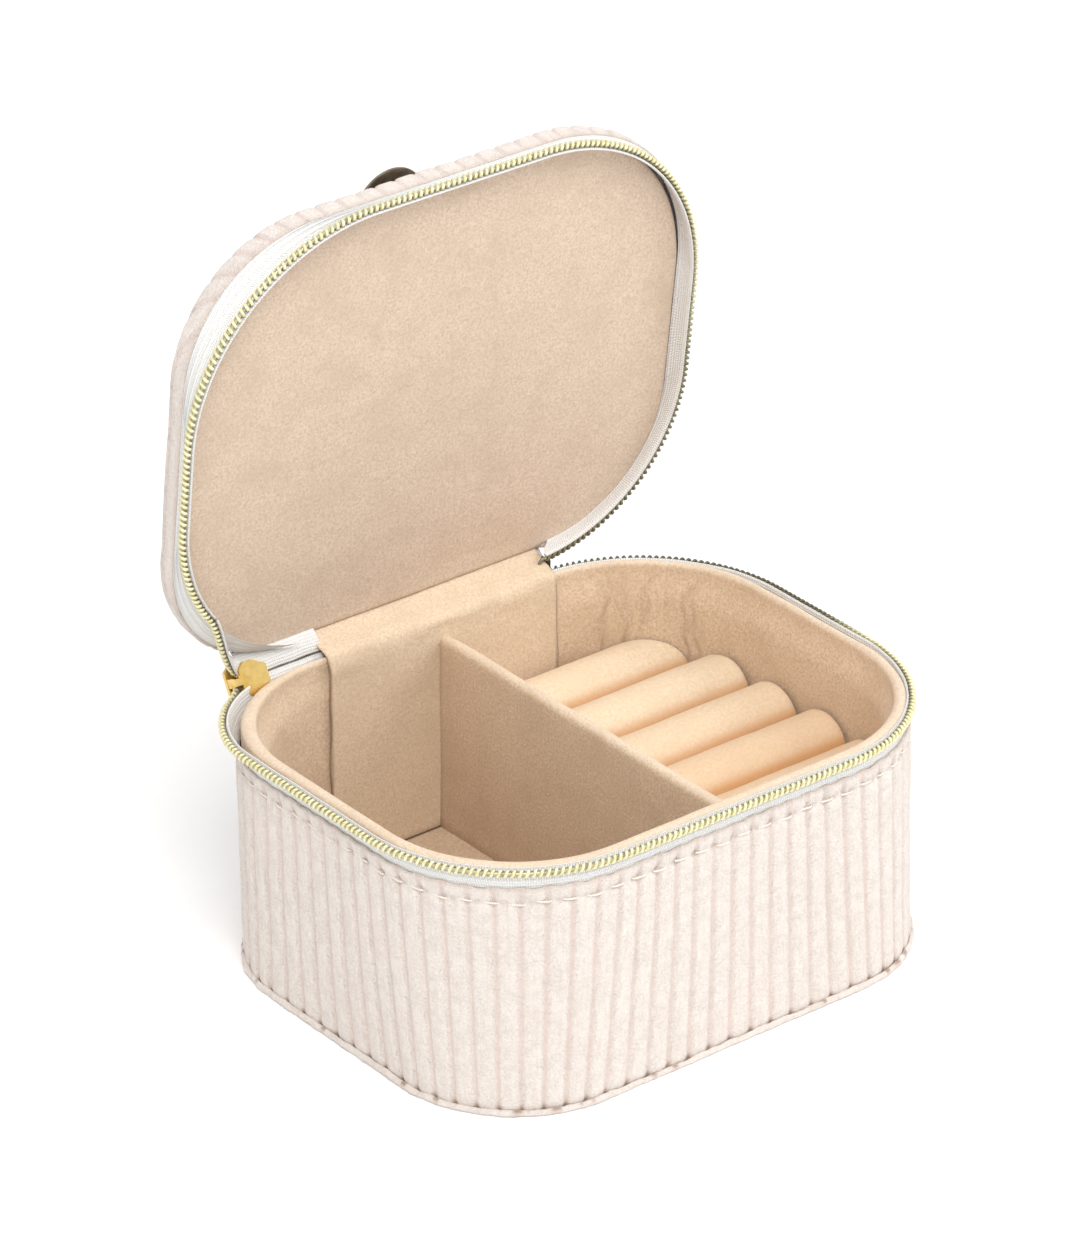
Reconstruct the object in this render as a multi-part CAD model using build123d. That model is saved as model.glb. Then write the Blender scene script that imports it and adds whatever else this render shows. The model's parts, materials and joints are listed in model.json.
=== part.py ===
from build123d import *
import math
import os

# A zip-round travel jewellery box. Millimetres, +Z up, +Y to the back, origin at the centre of
# the underside. The lid is modelled in its closed place and then turned open about its hinge.

# ---- driving dimensions ----
ZIP_HALF_X = 59.8            # half width and depth of the zip line
ZIP_HALF_Y = 46.8
ZIP_RADIUS = 32.0            # corner radius of the zip line
WALL_HALF_X = 58.8           # outer face of the ribbed wall
WALL_HALF_Y = 46.3
WALL_RADIUS = 31.0
BACK_LEFT_RADIUS = 27.0      # the slider's corner is squarer, and the zip line more than the wall
ZIP_BACK_LEFT_RADIUS = 24.0

CLOTH = 0.9                  # ribbed cloth
WALL_BOARD = 1.4             # card of the wall
SEAM_TOP = 1.2               # welt along the bottom edge
SEAM_PROUD = 0.3
BOTTOM_CLOTH = 0.7
FLOOR_BOARD_TOP = 2.5
FLOOR_TOP = 6.2
BOARD_TOP = 50.0
RIM_TOP = 51.4
RIM_ROUND = 0.6
WALL_SEAM = 47.6             # upper edge of the ribbed cloth
GAP = 0.05                   # play between layers that follow the same curve

INNER_LEFT = -53.6           # inner faces of the lining
INNER_RIGHT = 54.6
INNER_FRONT = -41.0
INNER_BACK = 43.2
INNER_RADIUS = 27.5

TAPE_FACE = 0.7              # the tape's outer face lies this far inside the zip line
TAPE = 0.5
TAPE_PAST_COIL = 0.6
COIL_THICK = 1.4
COIL_WIDTH = 1.8
COIL_Z = 50.4                # centre of the base coil
LID_COIL_Z = 52.5            # centre of the lid coil, lid closed
ZIP_START = -47.6            # the open chains begin here, beside the slider
ZIP_END = 30.4               # and end here, beside the hinge strip

STRIP_LEFT = -26.0           # lining strip and cloth spine of the hinge
STRIP_RIGHT = 29.0
STRIP = 0.45
SPINE = 0.8
HINGE_Y = 47.34
HINGE_Z = 53.5
OPEN_ANGLE = 82.86

LID_SEAM = 55.3              # lower edge of the lid's ribbed cloth
LID_PANEL_Z = 55.7           # face of the lid lining
LID_BOARD_Z = 56.3
LID_FOAM_Z = 57.5
LID_FOAM_TOP = 59.3
LID_TOP = 60.0
LID_ROUND = 2.3
FOAM_INSET = 1.4

DIVIDER_X = 1.4
DIVIDER_WIDTH = 2.8
DIVIDER_TOP = 48.0
DIVIDER_BOARD = 1.4
DIVIDER_ROUND = 0.8

ROLL_COUNT = 6
ROLL_PITCH = 14.4
ROLL_WIDTH = 14.2
ROLL_FIRST_Y = 34.75         # middle of the rearmost roll
ROLL_TOP = 35.4
ROLL_SKIN = 0.7
ROLL_PLAY = 0.5              # play between a roll's end and the wall
CARD = 0.8

STITCH_Z = 44.1
STITCH_PITCH = 4.9
STITCH_LENGTH = 3.2
THREAD = 0.4

BUTTON_X = -9.2
BUTTON_Y = -39.1
BUTTON_RADIUS = 7.9
BUTTON_LIP = 0.7
BUTTON_RIM_Z = 61.6
BUTTON_BACK_Z = 61.9
BUTTON_EDGE_Z = 62.1
BUTTON_TOP_Z = 63.5
SHANK_RADIUS = 2.2
WASHER_RADIUS = 4.2
WASHER = 0.4

CHAIN_Y = 47.0               # middle line of the closed length of zip
CHAIN_Z = 51.6
CHAIN_TILT = 28.0            # the closed zip and its slider lean back by this much
CHAIN_WIDTH = 3.2
CHAIN_THICK = 1.3
CHAIN_START = -43.1
TAPE_BELOW = 3.0             # reach of the tapes below and above the closed chain
TAPE_ABOVE = 3.0
SLIDER_X = -42.0
PLATE = 0.8
PLATE_GAP = 2.0
LIP = 0.55                   # the slider's plates turn in by this much at their sides
LIP_INNER = 2.7
LIP_OUTER = 3.2
BRIDGE_WIDTH = 1.2
BRIDGE_ROOM = 1.3            # room under the bridge
BRIDGE_TOP = 0.6
PULL_THICK = 0.7
PULL_LENGTH = 13.6
PULL_EYE = 2.95              # far end of the eye, from the pivot
PULL_BAR = 0.35


def rounded(half_x, half_y, radius, back_left_radius):
    """A rectangle with round corners, the back left one with its own radius."""
    face = Rectangle(2 * half_x, 2 * half_y)
    face = fillet(face.vertices().sort_by(lambda v: v.X - v.Y)[0], back_left_radius)
    sharp = face.vertices().filter_by(lambda v: half_x - abs(v.X) + half_y - abs(v.Y) < 0.01)
    return fillet(sharp, radius)


def wall_outline(inset):
    """The wall's outer outline, moved in by an inset."""
    return rounded(WALL_HALF_X - inset, WALL_HALF_Y - inset, WALL_RADIUS - inset, BACK_LEFT_RADIUS - inset)


def zip_outline(inset):
    """The zip line, moved in by an inset."""
    return rounded(ZIP_HALF_X - inset, ZIP_HALF_Y - inset, ZIP_RADIUS - inset, ZIP_BACK_LEFT_RADIUS - inset)


def inner_outline(inset):
    """The lining's inner outline, moved in by an inset."""
    half_x = (INNER_RIGHT - INNER_LEFT) / 2 - inset
    half_y = (INNER_BACK - INNER_FRONT) / 2 - inset
    centre = Pos((INNER_LEFT + INNER_RIGHT) / 2, (INNER_FRONT + INNER_BACK) / 2)
    return centre * rounded(half_x, half_y, INNER_RADIUS - inset, INNER_RADIUS - inset)


def prism(outline, low, high):
    """A straight prism on a flat outline, between two heights."""
    return extrude(Pos(0, 0, low) * outline, high - low)


def hoop(outer, inner, low, high):
    """An upright hoop between two outlines."""
    return prism(outer, low, high) - prism(inner, low, high)


def block(x0, x1, y0, y1, z0, z1):
    """A box between two corners."""
    return Pos((x0 + x1) / 2, (y0 + y1) / 2, (z0 + z1) / 2) * Box(x1 - x0, y1 - y0, z1 - z0)


def bent_strip(points, thickness):
    """The hinge strip's width of a thin layer whose middle line is given in Y and Z."""
    upper, lower = [], []
    for index, (y, z) in enumerate(points):
        before = points[max(index - 1, 0)]
        after = points[min(index + 1, len(points) - 1)]
        run = math.dist(before, after)
        across = ((before[1] - after[1]) / run * thickness / 2, (after[0] - before[0]) / run * thickness / 2)
        upper.append((y + across[0], z + across[1]))
        lower.append((y - across[0], z - across[1]))
    section = Plane.YZ * make_face(Polyline(*upper, *reversed(lower), close=True))
    return Pos(STRIP_LEFT, 0, 0) * extrude(section, STRIP_RIGHT - STRIP_LEFT)


def without_back(ring):
    """A zip ring without the stretch of the back where neither open chain runs."""
    return ring - block(ZIP_START, ZIP_END, INNER_FRONT + 80, WALL_HALF_Y + 10, WALL_SEAM - 1, LID_TOP)


# ---- base: card, cloth and lining ----
def base_bottom_cover():
    return prism(wall_outline(CLOTH + GAP), 0, BOTTOM_CLOTH)


def base_bottom_seam():
    return hoop(wall_outline(-SEAM_PROUD), wall_outline(CLOTH), 0, SEAM_TOP)


def base_floor_board():
    return prism(wall_outline(CLOTH + GAP), BOTTOM_CLOTH, FLOOR_BOARD_TOP)


def base_wall_board():
    return hoop(wall_outline(CLOTH + GAP), wall_outline(CLOTH + WALL_BOARD), FLOOR_BOARD_TOP, BOARD_TOP)


def base_wall_cover():
    return hoop(wall_outline(0), wall_outline(CLOTH), SEAM_TOP, WALL_SEAM)


def base_wall_lining():
    """Padded lining whose rounded rim is turned over the card's upper edge."""
    wall = prism(wall_outline(CLOTH + WALL_BOARD + GAP), FLOOR_BOARD_TOP, BOARD_TOP)
    rim = prism(wall_outline(CLOTH + GAP), BOARD_TOP, RIM_TOP)
    body = wall + rim - prism(inner_outline(0), FLOOR_BOARD_TOP, RIM_TOP)
    return fillet(body.edges().group_by(Axis.Z)[-1], RIM_ROUND)


def base_top_stitching():
    """Top stitches in a row round the wall, each one a short bar of thread."""
    line = (Pos(0, 0, STITCH_Z) * wall_outline(-THREAD / 2)).wire()
    count = round(line.length / STITCH_PITCH)
    stitch = Box(STITCH_LENGTH, THREAD, THREAD)
    places = [Plane(line.position_at(i / count), x_dir=line.tangent_at(i / count)) for i in range(count)]
    return Compound(children=[place.location * stitch for place in places])


def floor_pad():
    return prism(inner_outline(GAP), FLOOR_BOARD_TOP, FLOOR_TOP)


# ---- base: inside ----
def back_wall_strip():
    strip = block(STRIP_LEFT, STRIP_RIGHT, INNER_BACK - STRIP, INNER_BACK, FLOOR_TOP, RIM_TOP - RIM_ROUND)
    return strip & prism(inner_outline(GAP), FLOOR_TOP, RIM_TOP)


def divider_block(skin, top):
    """The divider's outer block, or its card when a skin is taken off it."""
    half = DIVIDER_WIDTH / 2 - skin
    front = INNER_FRONT + GAP + skin
    back = INNER_BACK - STRIP - GAP - skin
    return block(DIVIDER_X - half, DIVIDER_X + half, front, back, FLOOR_TOP, top)


def divider_board():
    skin = (DIVIDER_WIDTH - DIVIDER_BOARD) / 2
    return divider_block(skin, DIVIDER_TOP - skin)


def divider_cover():
    outer = divider_block(0, DIVIDER_TOP)
    top_edges = outer.edges().group_by(Axis.Z)[-1].filter_by(Axis.Y)
    return fillet(top_edges, DIVIDER_ROUND) - divider_board()


def right_side(shape):
    """What lies to the right of the divider."""
    return shape & block(DIVIDER_X + DIVIDER_WIDTH / 2 + GAP, WALL_HALF_X, -WALL_HALF_Y, WALL_HALF_Y, 0, RIM_TOP)


def ring_base_card():
    return right_side(prism(inner_outline(ROLL_PLAY), FLOOR_TOP, FLOOR_TOP + CARD))


def roll_block(index, skin):
    """A ring roll: an upright slab with a round top, trimmed to the wall's curve."""
    middle = ROLL_FIRST_Y - index * ROLL_PITCH
    radius = ROLL_WIDTH / 2 - skin
    start = DIVIDER_X + DIVIDER_WIDTH / 2 + 2 * GAP + skin
    length = INNER_RIGHT - start
    bottom = FLOOR_TOP + CARD
    shoulder = ROLL_TOP - ROLL_WIDTH / 2
    slab = block(start, INNER_RIGHT, middle - radius, middle + radius, bottom, shoulder)
    top = Pos(start + length / 2, middle, shoulder) * Rot(0, 90, 0) * Cylinder(radius, length)
    return (slab + top) & prism(inner_outline(ROLL_PLAY + skin), bottom, RIM_TOP)


# ---- base: zip ----
def tape_hoop(low, high):
    return without_back(hoop(zip_outline(TAPE_FACE), zip_outline(TAPE_FACE + TAPE), low, high))


def coil_hoop(middle):
    half = COIL_THICK / 2
    return without_back(
        hoop(zip_outline(-half), zip_outline(half), middle - COIL_WIDTH / 2, middle + COIL_WIDTH / 2)
    )


def base_zip_tape():
    return tape_hoop(WALL_SEAM, COIL_Z + TAPE_PAST_COIL)


def base_zip_coil():
    return coil_hoop(COIL_Z)


def zip_end_stop():
    return block(ZIP_END - 1.1, ZIP_END - 0.3, ZIP_HALF_Y - 0.6, ZIP_HALF_Y + 0.8, COIL_Z + 0.2, LID_COIL_Z + 0.7)


def chain_plane():
    """Axes of the closed zip: x along it, z out of its outer face."""
    tilt = math.radians(CHAIN_TILT)
    return Plane((0, CHAIN_Y, CHAIN_Z), x_dir=(1, 0, 0), z_dir=(0, math.cos(tilt), -math.sin(tilt)))


def zip_closed_chain():
    """The meshed coils and the strips of tape above and below them."""
    length = STRIP_LEFT - GAP - CHAIN_START
    coils = Box(length, CHAIN_WIDTH, CHAIN_THICK)
    tapes = Pos(0, (TAPE_BELOW - TAPE_ABOVE) / 2, 0) * Box(length, TAPE_BELOW + TAPE_ABOVE, TAPE)
    return chain_plane() * Pos(CHAIN_START + length / 2, 0, 0) * (coils + tapes)


# ---- hinge: cloth spine and lining strip ----
def hinge_cover():
    return bent_strip([(45.85, 48.05), (46.5, 49.6), (47.6, 51.8), (48.45, 54.0)], SPINE)


def hinge_lining():
    return bent_strip([(43.7, 51.68), (45.0, 52.4), (46.6, 53.6), (48.2, 55.2)], STRIP)


# ---- slider ----
def on_slider(shape):
    """Puts a shape drawn on the slider's own axes in its place."""
    return chain_plane() * Pos(SLIDER_X, 0, 0) * shape


def slider_body():
    outer_outline = Polygon((-4.2, -2.2), (-2.6, -3.4), (0.6, -3.2), (4.2, -1.9), (4.2, 1.9), (0.6, 3.2), (-2.6, 3.4),
                            (-4.2, 2.2), align=None)
    inner_outline_points = Polygon((-2.6, -2.0), (-1.2, -3.3), (0.8, -3.2), (3.5, -1.7), (3.5, 1.7), (0.8, 3.2),
                                   (-1.2, 3.3), (-2.6, 2.0), align=None)
    half_gap = PLATE_GAP / 2
    outer_plate = Pos(0, 0, half_gap) * extrude(fillet(outer_outline.vertices(), 0.5), PLATE)
    inner_plate = Pos(0, 0, -half_gap - PLATE) * extrude(fillet(inner_outline_points.vertices(), 0.5), PLATE)
    wedge = Pos(0, 0, -half_gap) * extrude(Polygon((-4.1, -0.9), (-1.5, 0), (-4.1, 0.9), align=None), PLATE_GAP)
    wedge += block(-4.1, -1.9, -0.7, 0.7, -half_gap - PLATE, -half_gap)
    body = outer_plate + inner_plate + wedge
    for side in (-1, 1):
        near, far = sorted((side * LIP_INNER, side * LIP_OUTER))
        body += block(-1.0, 0.9, near, far, half_gap - LIP, half_gap)
        body += block(-1.0, 0.9, near, far, -half_gap, LIP - half_gap)
    plate_top = half_gap + PLATE
    half_bridge = BRIDGE_WIDTH / 2
    bridge = block(-1.8, 2.0, -half_bridge, half_bridge, plate_top, plate_top + BRIDGE_ROOM + BRIDGE_TOP)
    bridge -= block(-1.0, 1.2, -half_bridge, half_bridge, plate_top, plate_top + BRIDGE_ROOM)
    return on_slider(body + bridge)


def pull_tab():
    """A flat tab with an eye round the bridge's leg and a bar under the bridge."""
    outline = Polygon((0, -1.7), (3.2, -1.8), (6.0, -2.3), (PULL_LENGTH, -2.3), (PULL_LENGTH, 2.3), (6.0, 2.3),
                      (3.2, 1.8), (0, 1.7), align=None)
    ends = outline.vertices().group_by(Axis.X)[-1]
    tab = extrude(fillet(ends, 1.4), PULL_THICK)
    eye_half = BRIDGE_WIDTH / 2 + 0.35
    tab -= block(-1, PULL_EYE, -eye_half, eye_half, 0, PULL_THICK)
    bar = Rot(90, 0, 0) * Cylinder(PULL_BAR, 3.4)
    pivot = PLATE_GAP / 2 + PLATE + BRIDGE_ROOM / 2
    return on_slider(Pos(0, 0, pivot) * (Pos(0, 0, -PULL_THICK / 2) * tab + bar))


# ---- lid, drawn closed ----
def opened(shape):
    """Turns a piece of the lid from its closed place to its open one."""
    return shape.rotate(Axis((0, HINGE_Y, HINGE_Z), (1, 0, 0)), -OPEN_ANGLE)


def at_button(shape):
    return Pos(BUTTON_X, BUTTON_Y, 0) * shape


def post(radius, low, high):
    """An upright post on the button's axis."""
    return at_button(Pos(0, 0, (low + high) / 2) * Cylinder(radius, high - low))


def lid_lining_panel():
    return prism(wall_outline(CLOTH + GAP), LID_PANEL_Z, LID_BOARD_Z)


def lid_board():
    board = prism(wall_outline(CLOTH + GAP), LID_BOARD_Z, LID_FOAM_Z)
    recess = post(WASHER_RADIUS + GAP, LID_BOARD_Z, LID_BOARD_Z + WASHER)
    return board - recess - post(SHANK_RADIUS + GAP, LID_BOARD_Z, LID_FOAM_Z)


def lid_foam():
    return prism(wall_outline(FOAM_INSET + GAP), LID_FOAM_Z, LID_FOAM_TOP) - post(
        SHANK_RADIUS + GAP, LID_FOAM_Z, LID_FOAM_TOP
    )


def lid_cover():
    """A shallow cloth tray over the lid's card, its upper edge rounded."""
    outer = prism(wall_outline(0), LID_SEAM, LID_TOP)
    outer = fillet(outer.edges().group_by(Axis.Z)[-1], LID_ROUND)
    room = prism(wall_outline(CLOTH), LID_SEAM, LID_FOAM_Z) + prism(wall_outline(FOAM_INSET), LID_FOAM_Z, LID_FOAM_TOP)
    return outer - room - post(SHANK_RADIUS + GAP, LID_FOAM_TOP, LID_TOP)


def lid_zip_tape():
    return tape_hoop(LID_COIL_Z - TAPE_PAST_COIL, LID_SEAM)


def lid_zip_coil():
    return coil_hoop(LID_COIL_Z)


def lid_button_cap():
    """A domed disc with a lip turned back behind its rim."""
    crown = BUTTON_TOP_Z - BUTTON_EDGE_Z
    ball = (BUTTON_RADIUS**2 + crown**2) / (2 * crown)
    dome = at_button(Pos(0, 0, BUTTON_TOP_Z - ball) * Sphere(ball))
    cap = post(BUTTON_RADIUS, BUTTON_RIM_Z, BUTTON_TOP_Z) & dome
    return cap - post(BUTTON_RADIUS - BUTTON_LIP, BUTTON_RIM_Z, BUTTON_BACK_Z)


def lid_button_shank():
    return post(SHANK_RADIUS, LID_BOARD_Z + WASHER, BUTTON_BACK_Z)


def lid_button_washer():
    return post(WASHER_RADIUS, LID_BOARD_Z, LID_BOARD_Z + WASHER)


def base_parts():
    parts = [base_bottom_cover, base_bottom_seam, base_floor_board, base_wall_board, base_wall_cover, base_wall_lining,
             base_top_stitching, floor_pad, back_wall_strip, divider_board, divider_cover, ring_base_card,
             base_zip_tape, base_zip_coil, zip_end_stop, zip_closed_chain, hinge_cover, hinge_lining, slider_body,
             pull_tab]
    return {part.__name__: part() for part in parts}


def roll_parts():
    parts = {}
    for index in range(ROLL_COUNT):
        core = right_side(roll_block(index, ROLL_SKIN))
        parts[f"ring_roll_core_{index + 1}"] = core
        parts[f"ring_roll_cover_{index + 1}"] = right_side(roll_block(index, 0)) - core
    return parts


def lid_parts():
    parts = [lid_lining_panel, lid_board, lid_foam, lid_cover, lid_zip_tape, lid_zip_coil, lid_button_cap,
             lid_button_shank, lid_button_washer]
    return {part.__name__: opened(part()) for part in parts}


os.makedirs("parts", exist_ok=True)
for name, shape in {**base_parts(), **roll_parts(), **lid_parts()}.items():
    export_step(shape, f"parts/{name}.step")
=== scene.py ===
"""The looks of a zip-round travel jewellery box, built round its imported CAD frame."""

import json
import math

import bpy
import numpy as np
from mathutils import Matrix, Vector, noise


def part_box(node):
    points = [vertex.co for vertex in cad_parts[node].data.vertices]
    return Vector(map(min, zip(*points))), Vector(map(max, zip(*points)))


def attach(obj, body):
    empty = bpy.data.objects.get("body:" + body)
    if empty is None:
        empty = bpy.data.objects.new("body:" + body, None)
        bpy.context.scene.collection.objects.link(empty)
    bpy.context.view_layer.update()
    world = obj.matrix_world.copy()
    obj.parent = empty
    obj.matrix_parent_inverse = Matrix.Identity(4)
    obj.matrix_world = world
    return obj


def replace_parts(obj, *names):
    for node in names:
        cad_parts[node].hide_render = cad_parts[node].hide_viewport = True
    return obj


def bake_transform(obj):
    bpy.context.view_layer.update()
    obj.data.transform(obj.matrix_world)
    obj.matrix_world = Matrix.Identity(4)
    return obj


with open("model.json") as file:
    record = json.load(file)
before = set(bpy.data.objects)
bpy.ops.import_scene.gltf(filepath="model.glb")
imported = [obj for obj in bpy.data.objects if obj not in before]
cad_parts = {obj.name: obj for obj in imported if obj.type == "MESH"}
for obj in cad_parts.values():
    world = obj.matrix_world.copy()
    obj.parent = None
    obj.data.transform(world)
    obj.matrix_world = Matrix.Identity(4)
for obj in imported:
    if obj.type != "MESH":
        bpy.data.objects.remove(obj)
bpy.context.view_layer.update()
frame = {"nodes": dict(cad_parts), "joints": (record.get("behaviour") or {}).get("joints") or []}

MM = 0.001
HINGE = next(joint for joint in frame["joints"] if joint["name"] == "lid_hinge")
HINGE_POINT = np.array(HINGE["pos_m"]) / MM
OPEN_ANGLE = math.radians(HINGE["range_deg"][1])


def box_mm(node):
    """Lowest and highest corner of a CAD node, in millimetres."""
    return [np.array(corner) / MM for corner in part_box(node)]


WALL_HIGH = box_mm("base_wall_cover")[1]
PAD_TOP = box_mm("floor_pad")[1][2]
DIVIDER_LOW, DIVIDER_HIGH = box_mm("divider_cover")
STRIP_LOW, STRIP_HIGH = box_mm("back_wall_strip")

# A shape is (centre x, centre y, half width, half depth, and the corners' radii: back right, front right,
# front left, back left), in millimetres.
SEAM_Z = WALL_HIGH[2] - 0.4
WALL_TOP = np.array([0, 0, WALL_HIGH[0] + 0.1, WALL_HIGH[1] + 0.2, 31.5, 31.5, 31.5, 27.0])
WALL_FOOT = np.array([0, 0, WALL_HIGH[0] - 1.2, WALL_HIGH[1] + 0.2, 26.5, 26.5, 26.5, 26.0])
BASE_ZIP = np.array([0, 0, 59.9, 46.8, 33.5, 33.5, 33.5, 23.5])
LID_ZIP = np.array([0, 0, 59.9, 46.8, 34.0, 40.0, 40.5, 37.0])
RIM_EDGE = np.array([0, 0, 57.9, 45.4, 30.2, 30.2, 30.2, 26.0])
INNER = np.array([0.5, 1.1, 54.1, 42.1, 27.5, 27.5, 27.5, 27.5])
LID_EDGE = np.array([0, 0, 59.8, 46.8, 30.0, 37.0, 28.5, 27.0])
LID_PANEL = np.array([-0.3, 1.0, 58.6, 45.6, 28.5, 36.0, 27.0, 27.0])

COIL_Z = 50.45               # middle of the base coil, and of the lid coil with the lid closed
LID_COIL_Z = 52.5
LID_SEAM_Z = 55.3
LID_PANEL_Z = 55.7
LID_TOP_Z = 60.1
LID_ROUND = 1.9
ZIP_START = 1.05             # places round the zip where the open chains start and end
ZIP_END = 7.8
LID_ZIP_END = 7.42
COIL_HALF_WIDTH = 0.6
COIL_HALF_THICK = 0.42
COIL_WIRE = 0.32
COIL_PITCH = 1.27
CORE_RADIUS = 0.36
POLE = 0.0004                # share of its size at which a surface that closes in stops
RIB_COUNT = 80
RIB_PITCH = 4.61
STITCH_Z = 44.1
STITCH_COUNT = 75
CHAIN_POINT = np.array([0, 47.0, 51.6])      # the closed length of zip and its slider
CHAIN_TILT = math.radians(28.0)
CHAIN_ENDS = (-43.5, STRIP_LOW[0] + 1.0)
ROLL_SHADE = (0.0, 0.0, 0.12, 0.3, 0.35, 0.35)      # painted shade on each roll, deeper on the rolls towards the front
CREASES = (                  # place, width, depth, lean and lowest height of each
    (24.5, 1.1, 0.5, 0.02, 26), (33.0, 1.0, 0.42, -0.1, 24), (41.5, 1.0, 0.4, 0.08, 34),
    (52.0, 0.9, 0.25, 0.0, 38), (60.5, 1.2, 0.6, -0.06, 22),
)
CAMERA_TURN = math.radians(-38.618)
CAMERA_TILT = math.radians(28.307)
CAMERA_PLACE = (-0.7027, -0.8679, 0.6708)
CAMERA_LENS = 198.46


# ---- shapes and points ----
def grown(shape, distance):
    """A shape moved out by a distance."""
    return shape + np.array([0, 0, 1, 1, 1, 1, 1, 1]) * distance


def mixed(first, second, share):
    """The first value at a share of 0, the second at 1."""
    return first * (1 - share) + second * share


def outline(place, shape):
    """Points and outward normals on a shape. Places run clockwise from 0 to 8: each straight side takes one,
    from the back, and then the corner after it."""
    centre, half, radii = shape[:2], shape[2:4], shape[4:]
    middles = np.array([(1, 1), (1, -1), (-1, -1), (-1, 1)]) * (half - radii[:, None]) + centre
    place = np.mod(np.asarray(place, float), 8)
    side = (place // 2).astype(int)
    share = place - 2 * side
    start = math.pi / 2 * (1 - side)
    angle = start - math.pi / 2 * np.clip(share - 1, 0, 1)
    normal = np.stack([np.cos(angle), np.sin(angle)], -1)
    facing = np.stack([np.cos(start), np.sin(start)], -1)
    begin = middles[side - 1] + radii[side - 1][..., None] * facing
    end = middles[side] + radii[side][..., None] * facing
    straight = begin + (end - begin) * np.clip(share, 0, 1)[..., None]
    corner = middles[side] + radii[side][..., None] * normal
    return np.where((share < 1)[..., None], straight, corner), normal


def run_along(shape, start=0.0, end=8.0):
    """Dense places between two of them, and the distance run to each."""
    dense = np.linspace(start, end, 4001)
    steps = np.linalg.norm(np.diff(outline(dense, shape)[0], axis=0), axis=1)
    return dense, np.concatenate([[0], np.cumsum(steps)])


def places_at(shape, shares, start=0.0, end=8.0):
    """Places at shares of the distance round a shape."""
    dense, run = run_along(shape, start, end)
    return np.interp(np.asarray(shares) * run[-1], run, dense)


def loop(place, shape, height, out=0.0):
    """Points at a height on a shape, moved out by an amount that may differ from point to point."""
    point, normal = outline(place, shape)
    flat = point + normal * np.broadcast_to(out, place.shape)[:, None]
    return np.concatenate([flat, np.broadcast_to(height, place.shape)[:, None]], -1)


def facing_out(place, shape):
    """Outward normals of a shape, level in space."""
    return np.concatenate([outline(place, shape)[1], np.zeros((len(place), 1))], -1)


def profile_loops(place, rows):
    """Loops for rows of (shape, height, out)."""
    return np.array([loop(place, *row) for row in rows])


def opened(points):
    """Turns points of the closed lid to where they are with the lid open."""
    y, z = points[..., 1] - HINGE_POINT[1], points[..., 2] - HINGE_POINT[2]
    cos, sin = math.cos(OPEN_ANGLE), math.sin(OPEN_ANGLE)
    back, up = y * cos + z * sin, z * cos - y * sin
    return np.stack([points[..., 0], HINGE_POINT[1] + back, HINGE_POINT[2] + up], -1)


def opened_way(vectors):
    """Turns directions on the closed lid to where they point with the lid open."""
    return opened(vectors) - opened(np.zeros(3))


def on_chain(along, up, out):
    """Points on the closed zip's own axes: along it, up towards the lid and out of its outer face."""
    along, up, out = np.broadcast_arrays(along, up, out)
    cos, sin = math.cos(CHAIN_TILT), math.sin(CHAIN_TILT)
    return np.stack([along, CHAIN_POINT[1] + up * sin + out * cos, CHAIN_POINT[2] + up * cos - out * sin], -1)


CHAIN_UP, CHAIN_OUT = on_chain(0, [1, 0], [0, 1]) - on_chain(0, 0, 0)


def bumps(points, size, seed=0):
    """Smooth random numbers, about -1 to 1, with features of a size in millimetres."""
    scaled = np.asarray(points).reshape(-1, 3) / size + 17.3 * seed
    return np.array([noise.noise(Vector(p)) for p in scaled]).reshape(np.shape(points)[:-1])


def smooth(value, low, high):
    """Rises smoothly from 0 at low to 1 at high."""
    share = np.clip((np.asarray(value, float) - low) / (high - low), 0, 1)
    return share * share * (3 - 2 * share)


def hump(value, middle, width):
    """Rises to 1 at the middle and falls away over a width."""
    return np.exp(-(((np.asarray(value, float) - middle) / width) ** 2))


def rib_distance(rib):
    """Distance in millimetres from the nearest groove, for a place counted in ribs."""
    share = np.mod(rib, 1)
    return np.minimum(share, 1 - share) * RIB_PITCH


def bezier(points, count):
    """A smooth curve through the first and last of four points."""
    t = np.linspace(0, 1, count)[:, None]
    a, b, c, d = [np.asarray(point, float) for point in points]
    return a * (1 - t) ** 3 + 3 * b * t * (1 - t) ** 2 + 3 * c * t**2 * (1 - t) + d * t**3


def smooth_path(points, count):
    """Evenly spaced points on a smooth curve through all the points."""
    points = np.asarray(points, float)
    padded = np.concatenate([[2 * points[0] - points[1]], points, [2 * points[-1] - points[-2]]])
    t = np.linspace(0, 1, 24, endpoint=False)[:, None]
    spans = []
    for a, b, c, d in zip(padded, padded[1:], padded[2:], padded[3:]):
        square, cube = 2 * a - 5 * b + 4 * c - d, 3 * b - a - 3 * c + d
        spans.append(0.5 * (2 * b + (c - a) * t + square * t**2 + cube * t**3))
    curve = np.concatenate([*spans, points[-1:]])
    run = distance_run(curve)
    even = np.linspace(0, run[-1], count)
    return np.stack([np.interp(even, run, curve[:, axis]) for axis in range(curve.shape[1])], -1)


def distance_run(points):
    """Distance from the first point to each one, along the path."""
    return np.concatenate([[0], np.cumsum(np.linalg.norm(np.diff(points, axis=0), axis=1))])


def unit(vectors):
    return vectors / np.linalg.norm(vectors, axis=-1, keepdims=True)


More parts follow.
